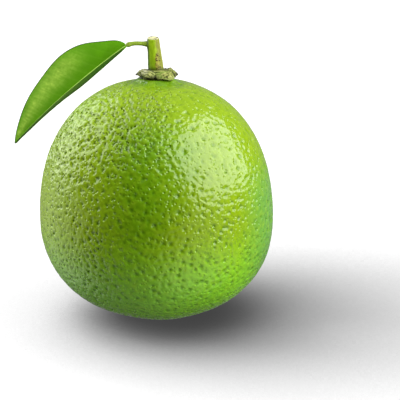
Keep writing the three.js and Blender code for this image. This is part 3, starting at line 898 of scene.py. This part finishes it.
def make_calyx():
    """One closed sheet: out along its underside, back over the top and down the crack round the stalk."""
    columns = 360
    angles = full_turn(columns)
    circle = np.stack([np.cos(angles), np.sin(angles), 0 * angles], axis=-1)
    reach = round_the_rim("reach", angles) + uneven(circle, CALYX_RAGGED)
    rim_z = round_the_rim("rim", angles) + uneven(circle, CALYX_RIM_WAVES)
    shoulder_z = round_the_rim("shoulder", angles)
    dead_tip = round_the_rim("dead", angles)
    fold_z = CALYX_FOLD + CALYX_FRONT_RISE * np.cos(angles - FRONT) + uneven(circle, CALYX_FOLD_WAVES)
    inner = STEM_FOOT_RADIUS + CALYX_GAP
    thick = CALYX_THICK + CALYX_FLESH * fade(reach, *CALYX_FLESHY_REACH)
    in_front = facing(angles, *CREASED_FRONT)
    paler_lobe_and_shaded_notch = facing(angles, *PALER_LOBE) - facing(angles, *SHADED_NOTCH_LOBE)
    rows = [("neck", t) for t in np.sqrt(np.linspace(0, 1, 6))]
    rows += [("under", t) for t in np.linspace(0, 1, 22)[1:]]
    rows += [("over", t) for t in np.linspace(1, 0, 46)]
    rows += [("crack", t) for t in np.linspace(0, 1, 5)[1:]]
    rows += [("dish", t) for t in np.linspace(1, 0.02, 5)[1:]]
    points = []
    marks = {"dead": [], "living": [], "bleached": [], "painted_fold_shading": []}
    for kind, t in rows:
        out = np.full(columns, t if kind in ("under", "over") else 0.0)
        r = inner + (reach - inner) * out
        waves = calyx_waves(circle, r, out, in_front)
        sheet = (1 - out) ** 2 * fold_z + 2 * out * (1 - out) * shoulder_z + out**2 * rim_z + waves
        if kind == "neck":
            r = np.full(columns, CALYX_NECK * t)
            z = np.full(columns, CALYX_BASE)
        elif kind == "under":
            r = CALYX_NECK + (reach - CALYX_NECK) * t
            z = CALYX_BASE + (sheet - thick * (1 - 0.6 * t) - CALYX_BASE) * fade(t, 0, 0.22)
        elif kind == "over":
            z = sheet
        elif kind == "crack":
            z = fold_z + (CALYX_DISH - fold_z) * t
        else:
            r = np.full(columns, inner * t)
            z = np.full(columns, CALYX_DISH)
        points.append(np.stack([STEM_X + r * circle[:, 0], r * circle[:, 1], z], axis=-1))
        # painted shade: the top is painted dark near the stalk's foot, as its shadow; it is green on one lobe
        # and bleached on another
        painted_foot_shade = 0.9 * facing(angles, *FOOT_SHADE_LEFT) * (1 - fade(out, 0.06, 0.3))
        painted_foot_shade += 0.7 * facing(angles, *FOOT_SHADE_RIGHT) * (1 - fade(out, 0.14, 0.5))
        withered_and_shaded = np.maximum(dead_tip * fade(out, 0.6, 0.95), painted_foot_shade * (kind != "under"))
        # painted shade: the crack and the dish round the stalk are painted dark, on top of the dead tips
        marks["dead"].append(withered_and_shaded + 0.8 * (kind in ("crack", "dish")))
        on_top = kind == "over"
        green = 0.85 * facing(angles, *LIVING_LOBE) * fade(out, 0.1, 0.4) * (1 - fade(out, 0.95, 1.0))
        marks["living"].append(green * on_top)
        marks["bleached"].append(1.3 * facing(angles, *BLEACHED_LOBE) * on_top * (1 - fade(out, 0.75, 0.95)))
        # painted shade and light: dark where the waves dip, pale where they rise, darker in the notch between
        # two front lobes, paler on another lobe
        marks["painted_fold_shading"].append(np.clip(0.47 + waves / 0.2 + 0.16 * paler_lobe_and_shaded_notch, 0, 1))
    faces = tube_faces(len(rows), columns)
    return make_piece("calyx", np.array(points), faces, [dried_calyx()], attributes=marks)


# ---------------------------------------------------------------- stalk and leaf stalk


def cut_end(angles, axis, radius, rows):
    """Rings of the clipped end from the bark inwards, and how brown each of their points is."""
    level = np.full(len(angles), STEM_TOP_Z)
    burns = sum(brown * hump(turned_from(angles, towards), 0, width) for towards, width, brown in CUT_BURNS)
    rings, browned = [], []
    for k in range(1, rows + 1):
        inward = 1 - k / (rows + 0.5)
        r = radius * inward
        ring = np.stack([axis + r * np.cos(angles), r * np.sin(angles), level], axis=-1)
        dome = CUT_DOME * (1 - inward**2) * (0.5 + 0.5 * lumps(ring, 0.5, 8.0))
        ring[:, 2] += dome + CUT_SLANT * ring[:, 1]
        rings.append(ring)
        spots = burns + 0.4 * fade(lumps(ring, 0.4, 4.0), -0.05, 0.15)
        browned.append(fade(inward, 0.35, 0.75) * np.clip(spots, 0, 1))
    return rings, browned, np.clip(burns, 0, 1)


def make_stem():
    """The stalk: ridged bark with a cork scar, a swelling where the leaf stalk grows, and a clipped end."""
    columns = 96
    side_rows = 120
    cap_rows = 14
    rim_rows = 3  # rows of the side that belong to the cut end
    angles = full_turn(columns)
    t, a = np.meshgrid(np.linspace(0, 1, side_rows), angles, indexing="ij")
    z = STEM_FOOT_Z + (STEM_TOP_Z - STEM_FOOT_Z) * t
    axis = STEM_X + (STEM_TOP_X - STEM_X) * t
    radius = STEM_FOOT_RADIUS + (STEM_TOP_RADIUS - STEM_FOOT_RADIUS) * t
    radius += STEM_FLARE * (1 - fade(t, 0, STEM_FLARE_TOP))
    radius -= STEM_BEVEL * fade(z, STEM_TOP_Z - BEVEL_HEIGHT, STEM_TOP_Z)
    radius += RIDGE_DEPTH * (np.cos(STEM_RIDGES * a + 0.5) - 1)
    radius += NODE_SWELL * hump(turned_from(a, LEFT), 0, NODE_REACH) * hump(z, NODE_Z, NODE_REACH)
    smooth = np.stack([axis + radius * np.cos(a), radius * np.sin(a), z], axis=-1)
    ragged = lumps(smooth * (1, 1, 0.6), 0.6, 9.4).reshape(a.shape)
    grain = lumps(smooth * (1, 1, 0.5), 0.55, 2.2).reshape(a.shape)
    dots = lumps(smooth, 0.34, 6.1).reshape(a.shape)
    off_scar = turned_from(a, CORK_AT + CORK_TURN * t) + 0.3 * ragged
    cork = fade(off_scar, *CORK_HALF_WIDTH) * fade(t, *CORK_TOP)
    weathered = fade(turned_from(a, WEATHERED_AT) + 0.25 * ragged, *WEATHERED_HALF_WIDTH)
    warts = fade(dots, 0.12, 0.22) * cork
    left_edge = fade(turned_from(a, LEFT), *SHADED_HALF_WIDTH)
    radius += GRAIN_HEIGHT * grain + WART_HEIGHT * warts + CORK_HEIGHT * cork
    radius += WEATHERED_HEIGHT * dots * weathered
    side = np.stack([axis + radius * np.cos(a), radius * np.sin(a), z], axis=-1)
    side[..., 2] += CUT_SLANT * side[..., 1] * fade(t, 0.75, 1.0)  # clipped askew, facing the front
    rings, browned, rim = cut_end(angles, axis[-1], radius[-1], cap_rows)
    points = np.concatenate([side, rings])
    marks = {
        "cork": cork,
        # painted shade: the damp mark darkens the foot where the stalk stands in the calyx
        "damp": 0.85 * fade(t, *FOOT_SHADE_TOP),
        "weathered": weathered,
        "shaded": np.maximum(0.9 * left_edge, 0.4 * fade(t, *SHADED_TOP)),
        "wart": warts,
    }
    marks = {mark: np.concatenate([values, np.zeros((cap_rows, columns))]) for mark, values in marks.items()}
    bark = np.zeros((side_rows - rim_rows, columns))
    marks["browned"] = np.concatenate([bark, [rim] * rim_rows, browned])
    faces = tube_faces(len(points), columns)
    is_cut = [1 if min(face) >= len(bark) * columns else 0 for face in faces]
    return make_piece("stem", points, faces, [green_twig_bark(), clipped_wood()], is_cut, marks)


def make_petiole():
    """The leaf stalk: a rod with a groove in front and behind, widest where it grows from the stalk."""
    columns = 40
    rows = 90
    path = smooth_path([(x, 0.0, z) for x, z in PETIOLE_ROUTE], rows)
    along = np.linspace(0, 1, rows)
    tangent = np.gradient(path, axis=0)
    tangent /= np.linalg.norm(tangent, axis=1)[:, None]
    sideways = np.array([0.0, 1.0, 0.0])
    upwards = np.cross(tangent, sideways)
    upwards *= np.sign(upwards[:, 2])[:, None]
    angles = full_turn(columns)
    radius = PETIOLE_RADIUS + PETIOLE_FOOT * (1 - fade(along, 0, 0.3)) + PETIOLE_KNOT * hump(along, 0.84, 0.1)
    radius = radius * (1 - PETIOLE_PINCH * fade(along, 0.9, 1.0))
    off_top = turned_from(angles, math.pi / 2)
    groove = hump(off_top, GROOVE_AT, 0.2)
    r = (radius[:, None] * (1 - GROOVE_DEPTH * groove))[..., None]
    round_it = np.cos(angles)[None, :, None] * sideways + np.sin(angles)[None, :, None] * upwards[:, None]
    points = path[:, None] + r * round_it
    # painted shade: olive along the top, in the groove and below, pale between them
    olive = 1.0 * hump(off_top, 0, 0.66) + 0.45 * groove + 0.9 * hump(off_top, math.pi, 0.95)
    marks = {"olive": np.clip(olive, 0, 1) * (1 - fade(along, 0.86, 0.97))[:, None]}
    return make_piece("petiole", points, tube_faces(rows, columns), [leaf_stalk_skin()], attributes=marks)


# ---------------------------------------------------------------- leaf blade


def blade_half_width(along):
    """Half the blade's width at a share of its length; the edge is smooth, as on most lime leaves."""
    widest = BASE_SHARPNESS / (BASE_SHARPNESS + TIP_SHARPNESS)
    fullest = widest**BASE_SHARPNESS * (1 - widest) ** TIP_SHARPNESS
    outline = along**BASE_SHARPNESS * (1 - along) ** TIP_SHARPNESS / fullest
    outline = outline * (1 - BASE_SLIMNESS * hump(along, BASE_SLIM_AT, BASE_SLIM_REACH))
    least = STALK_HALF_WIDTH + (TIP_HALF_WIDTH - STALK_HALF_WIDTH) * along
    return np.maximum(least, LEAF_HALF_WIDTH * outline)


def blade_points(along, across, width):
    """The middle of the blade: across runs from -1 at one edge through 0 at the midrib to 1."""
    reach = np.abs(across)
    turn = FOLD_AT_EDGE - FOLD_AT_RIB
    at_rib = FOLD_AT_RIB - FRONT_EASE * (across > 0) * (1 - fade(along, 0.3, 0.55))
    slope = at_rib + turn * reach
    sideways = (np.sin(slope) - np.sin(at_rib)) / turn
    upwards = (np.cos(at_rib) - np.cos(slope)) / turn
    arch = LEAF_ARCH * 4 * along * (1 - along)
    phase = np.where(across > 0, EDGE_PHASES[1], EDGE_PHASES[0])
    rise = np.where(across > 0, EDGE_RISES[1], EDGE_RISES[0])
    body = np.sin(math.pi * along)
    edge = rise * body * reach**2 * np.sin(2 * math.pi * EDGE_WAVES * along + phase)
    y = np.sign(across) * width * sideways
    return np.stack([along * LEAF_LENGTH, y, arch + width * upwards + edge], -1)


def vein_turns(along, across):
    """How many side veins lie between the base and each point, a whole number on every vein."""
    return LEAF_VEINS * along - VEIN_SWEEP * np.abs(across) ** 0.9 + 0.25 * (across > 0)


def vein_lines(along, across):
    """1 on each side vein, fading to 0 between them, and weaker towards the edge."""
    turns = vein_turns(along, across)
    off = np.abs(turns - np.round(turns))
    return hump(off, 0, 0.09) * (1 - fade(np.abs(across), 0.7, 1.0)) * np.sin(math.pi * along) ** 0.5


def leaf_marks(along, across, width):
    """How strongly each mark shows at each point of the blade."""
    off_midrib = np.abs(across) * width
    off_margin = (1 - np.abs(across)) * width
    # painted highlight: a pale band lies along the outer part of each half, away from the base, where the
    # blade faces the light
    middle = HIGHLIGHT_MIDDLE - HIGHLIGHT_INWARD * along**3
    painted_highlight = fade(along, *HIGHLIGHT_BASE) * fade(along, *HIGHLIGHT_TIP) * hump(np.abs(across), middle, HIGHLIGHT_WIDTH)
    # and is drawn out into short streaks that run with the side veins
    with_veins = (along * LEAF_LENGTH - 0.4 * off_midrib) / STREAK_SPACING
    streaks = np.stack([with_veins, across * width / STREAK_LENGTH, 0 * along], -1)
    margin_width = np.where(across > 0, MARGIN_FRONT, MARGIN_BEHIND)
    past_base = fade(along, 0.0, 0.05)
    return {
        "midrib": fade(off_midrib, *MIDRIB_HALF_WIDTH) * (1 - fade(along, 0.6, 0.95)),
        "vein": vein_lines(along, across),
        "painted_highlight": painted_highlight * (0.72 + 0.45 * lumps(streaks, 1.0, 4.4).reshape(along.shape)),
        # painted shade: the front half is painted deeper green, as it is turned from the light
        "painted_shade_front_half": 0.9 * fade(across, 0.015, 0.06) * past_base,
        # painted shade: a dark rim along the edges, wider in front
        "margin": 0.9 * (1 - fade(off_margin, 0.1, margin_width)) * past_base,
    }


def make_leaf():
    """The blade, folded along its midrib: an upper face, an underside and a thin edge between them."""
    rows = 281
    half_columns = 70
    side = np.linspace(0, 1, half_columns + 1) ** 1.15
    across = np.concatenate([-side[:0:-1], side])
    along, across = np.meshgrid(np.linspace(0, 1, rows), across, indexing="ij")
    width = blade_half_width(along)
    surface = blade_points(along, across, width)
    normal = np.cross(np.gradient(surface, axis=0), np.gradient(surface, axis=1))
    normal /= np.linalg.norm(normal, axis=-1)[..., None]
    off_midrib = np.abs(across) * width
    off_margin = (1 - np.abs(across)) * width
    veins = vein_lines(along, across)
    body = np.sin(math.pi * along)
    between_veins = np.cos(2 * math.pi * vein_turns(along, across))
    lift = uneven(surface, BLADE_DIMPLES).reshape(along.shape) * body
    lift -= PILLOW * body * np.sin(math.pi * np.abs(across)) * between_veins
    lift += MIDRIB_RISE * hump(off_midrib, 0, MIDRIB_RISE_WIDTH) * (1 - 0.5 * along) - VEIN_HOLLOW * veins
    upper = surface + normal * lift[..., None]
    keel = MIDRIB_KEEL * fade(along, 0, 0.04) * (1 - 0.7 * along) * hump(off_midrib, 0, MIDRIB_KEEL_WIDTH)
    flat = LEAF_THICKNESS * (EDGE_THINNESS + (1 - EDGE_THINNESS) * fade(off_margin, 0, EDGE_THIN_WIDTH))
    lower = upper - normal * (flat + keel + VEIN_KEEL * veins)[..., None]
    top, under, strip = sheet_faces(*along.shape)
    faces = np.concatenate([top, under, strip])
    skin_of_face = np.repeat([0, 1, 0], [len(top), len(under), len(strip)])
    half_turn = Matrix.Rotation(math.pi, 3, "Z")
    hung = half_turn @ Matrix.Rotation(LEAF_DROOP, 3, "Y") @ Matrix.Rotation(LEAF_ROLL, 3, "X")
    points = np.concatenate([upper.reshape(-1, 3), lower.reshape(-1, 3)]) @ np.array(hung).T + LEAF_BASE
    marks = {mark: np.tile(values.ravel(), 2) for mark, values in leaf_marks(along, across, width).items()}
    skins = [waxy_leaf_face(), matt_leaf_underside()]
    return make_piece("leaf_blade", points, faces, skins, skin_of_face, marks)


# ---------------------------------------------------------------- assembly

lights = set_studio()
dress(make_rind(), "fruit")
dress(make_calyx(), "calyx")
dress(make_stem(), "stem")
dress(make_petiole(), "petiole")
leaf = make_leaf()
dress(leaf, "leaf_blade")
pass_by(lights["box_left"], leaf)
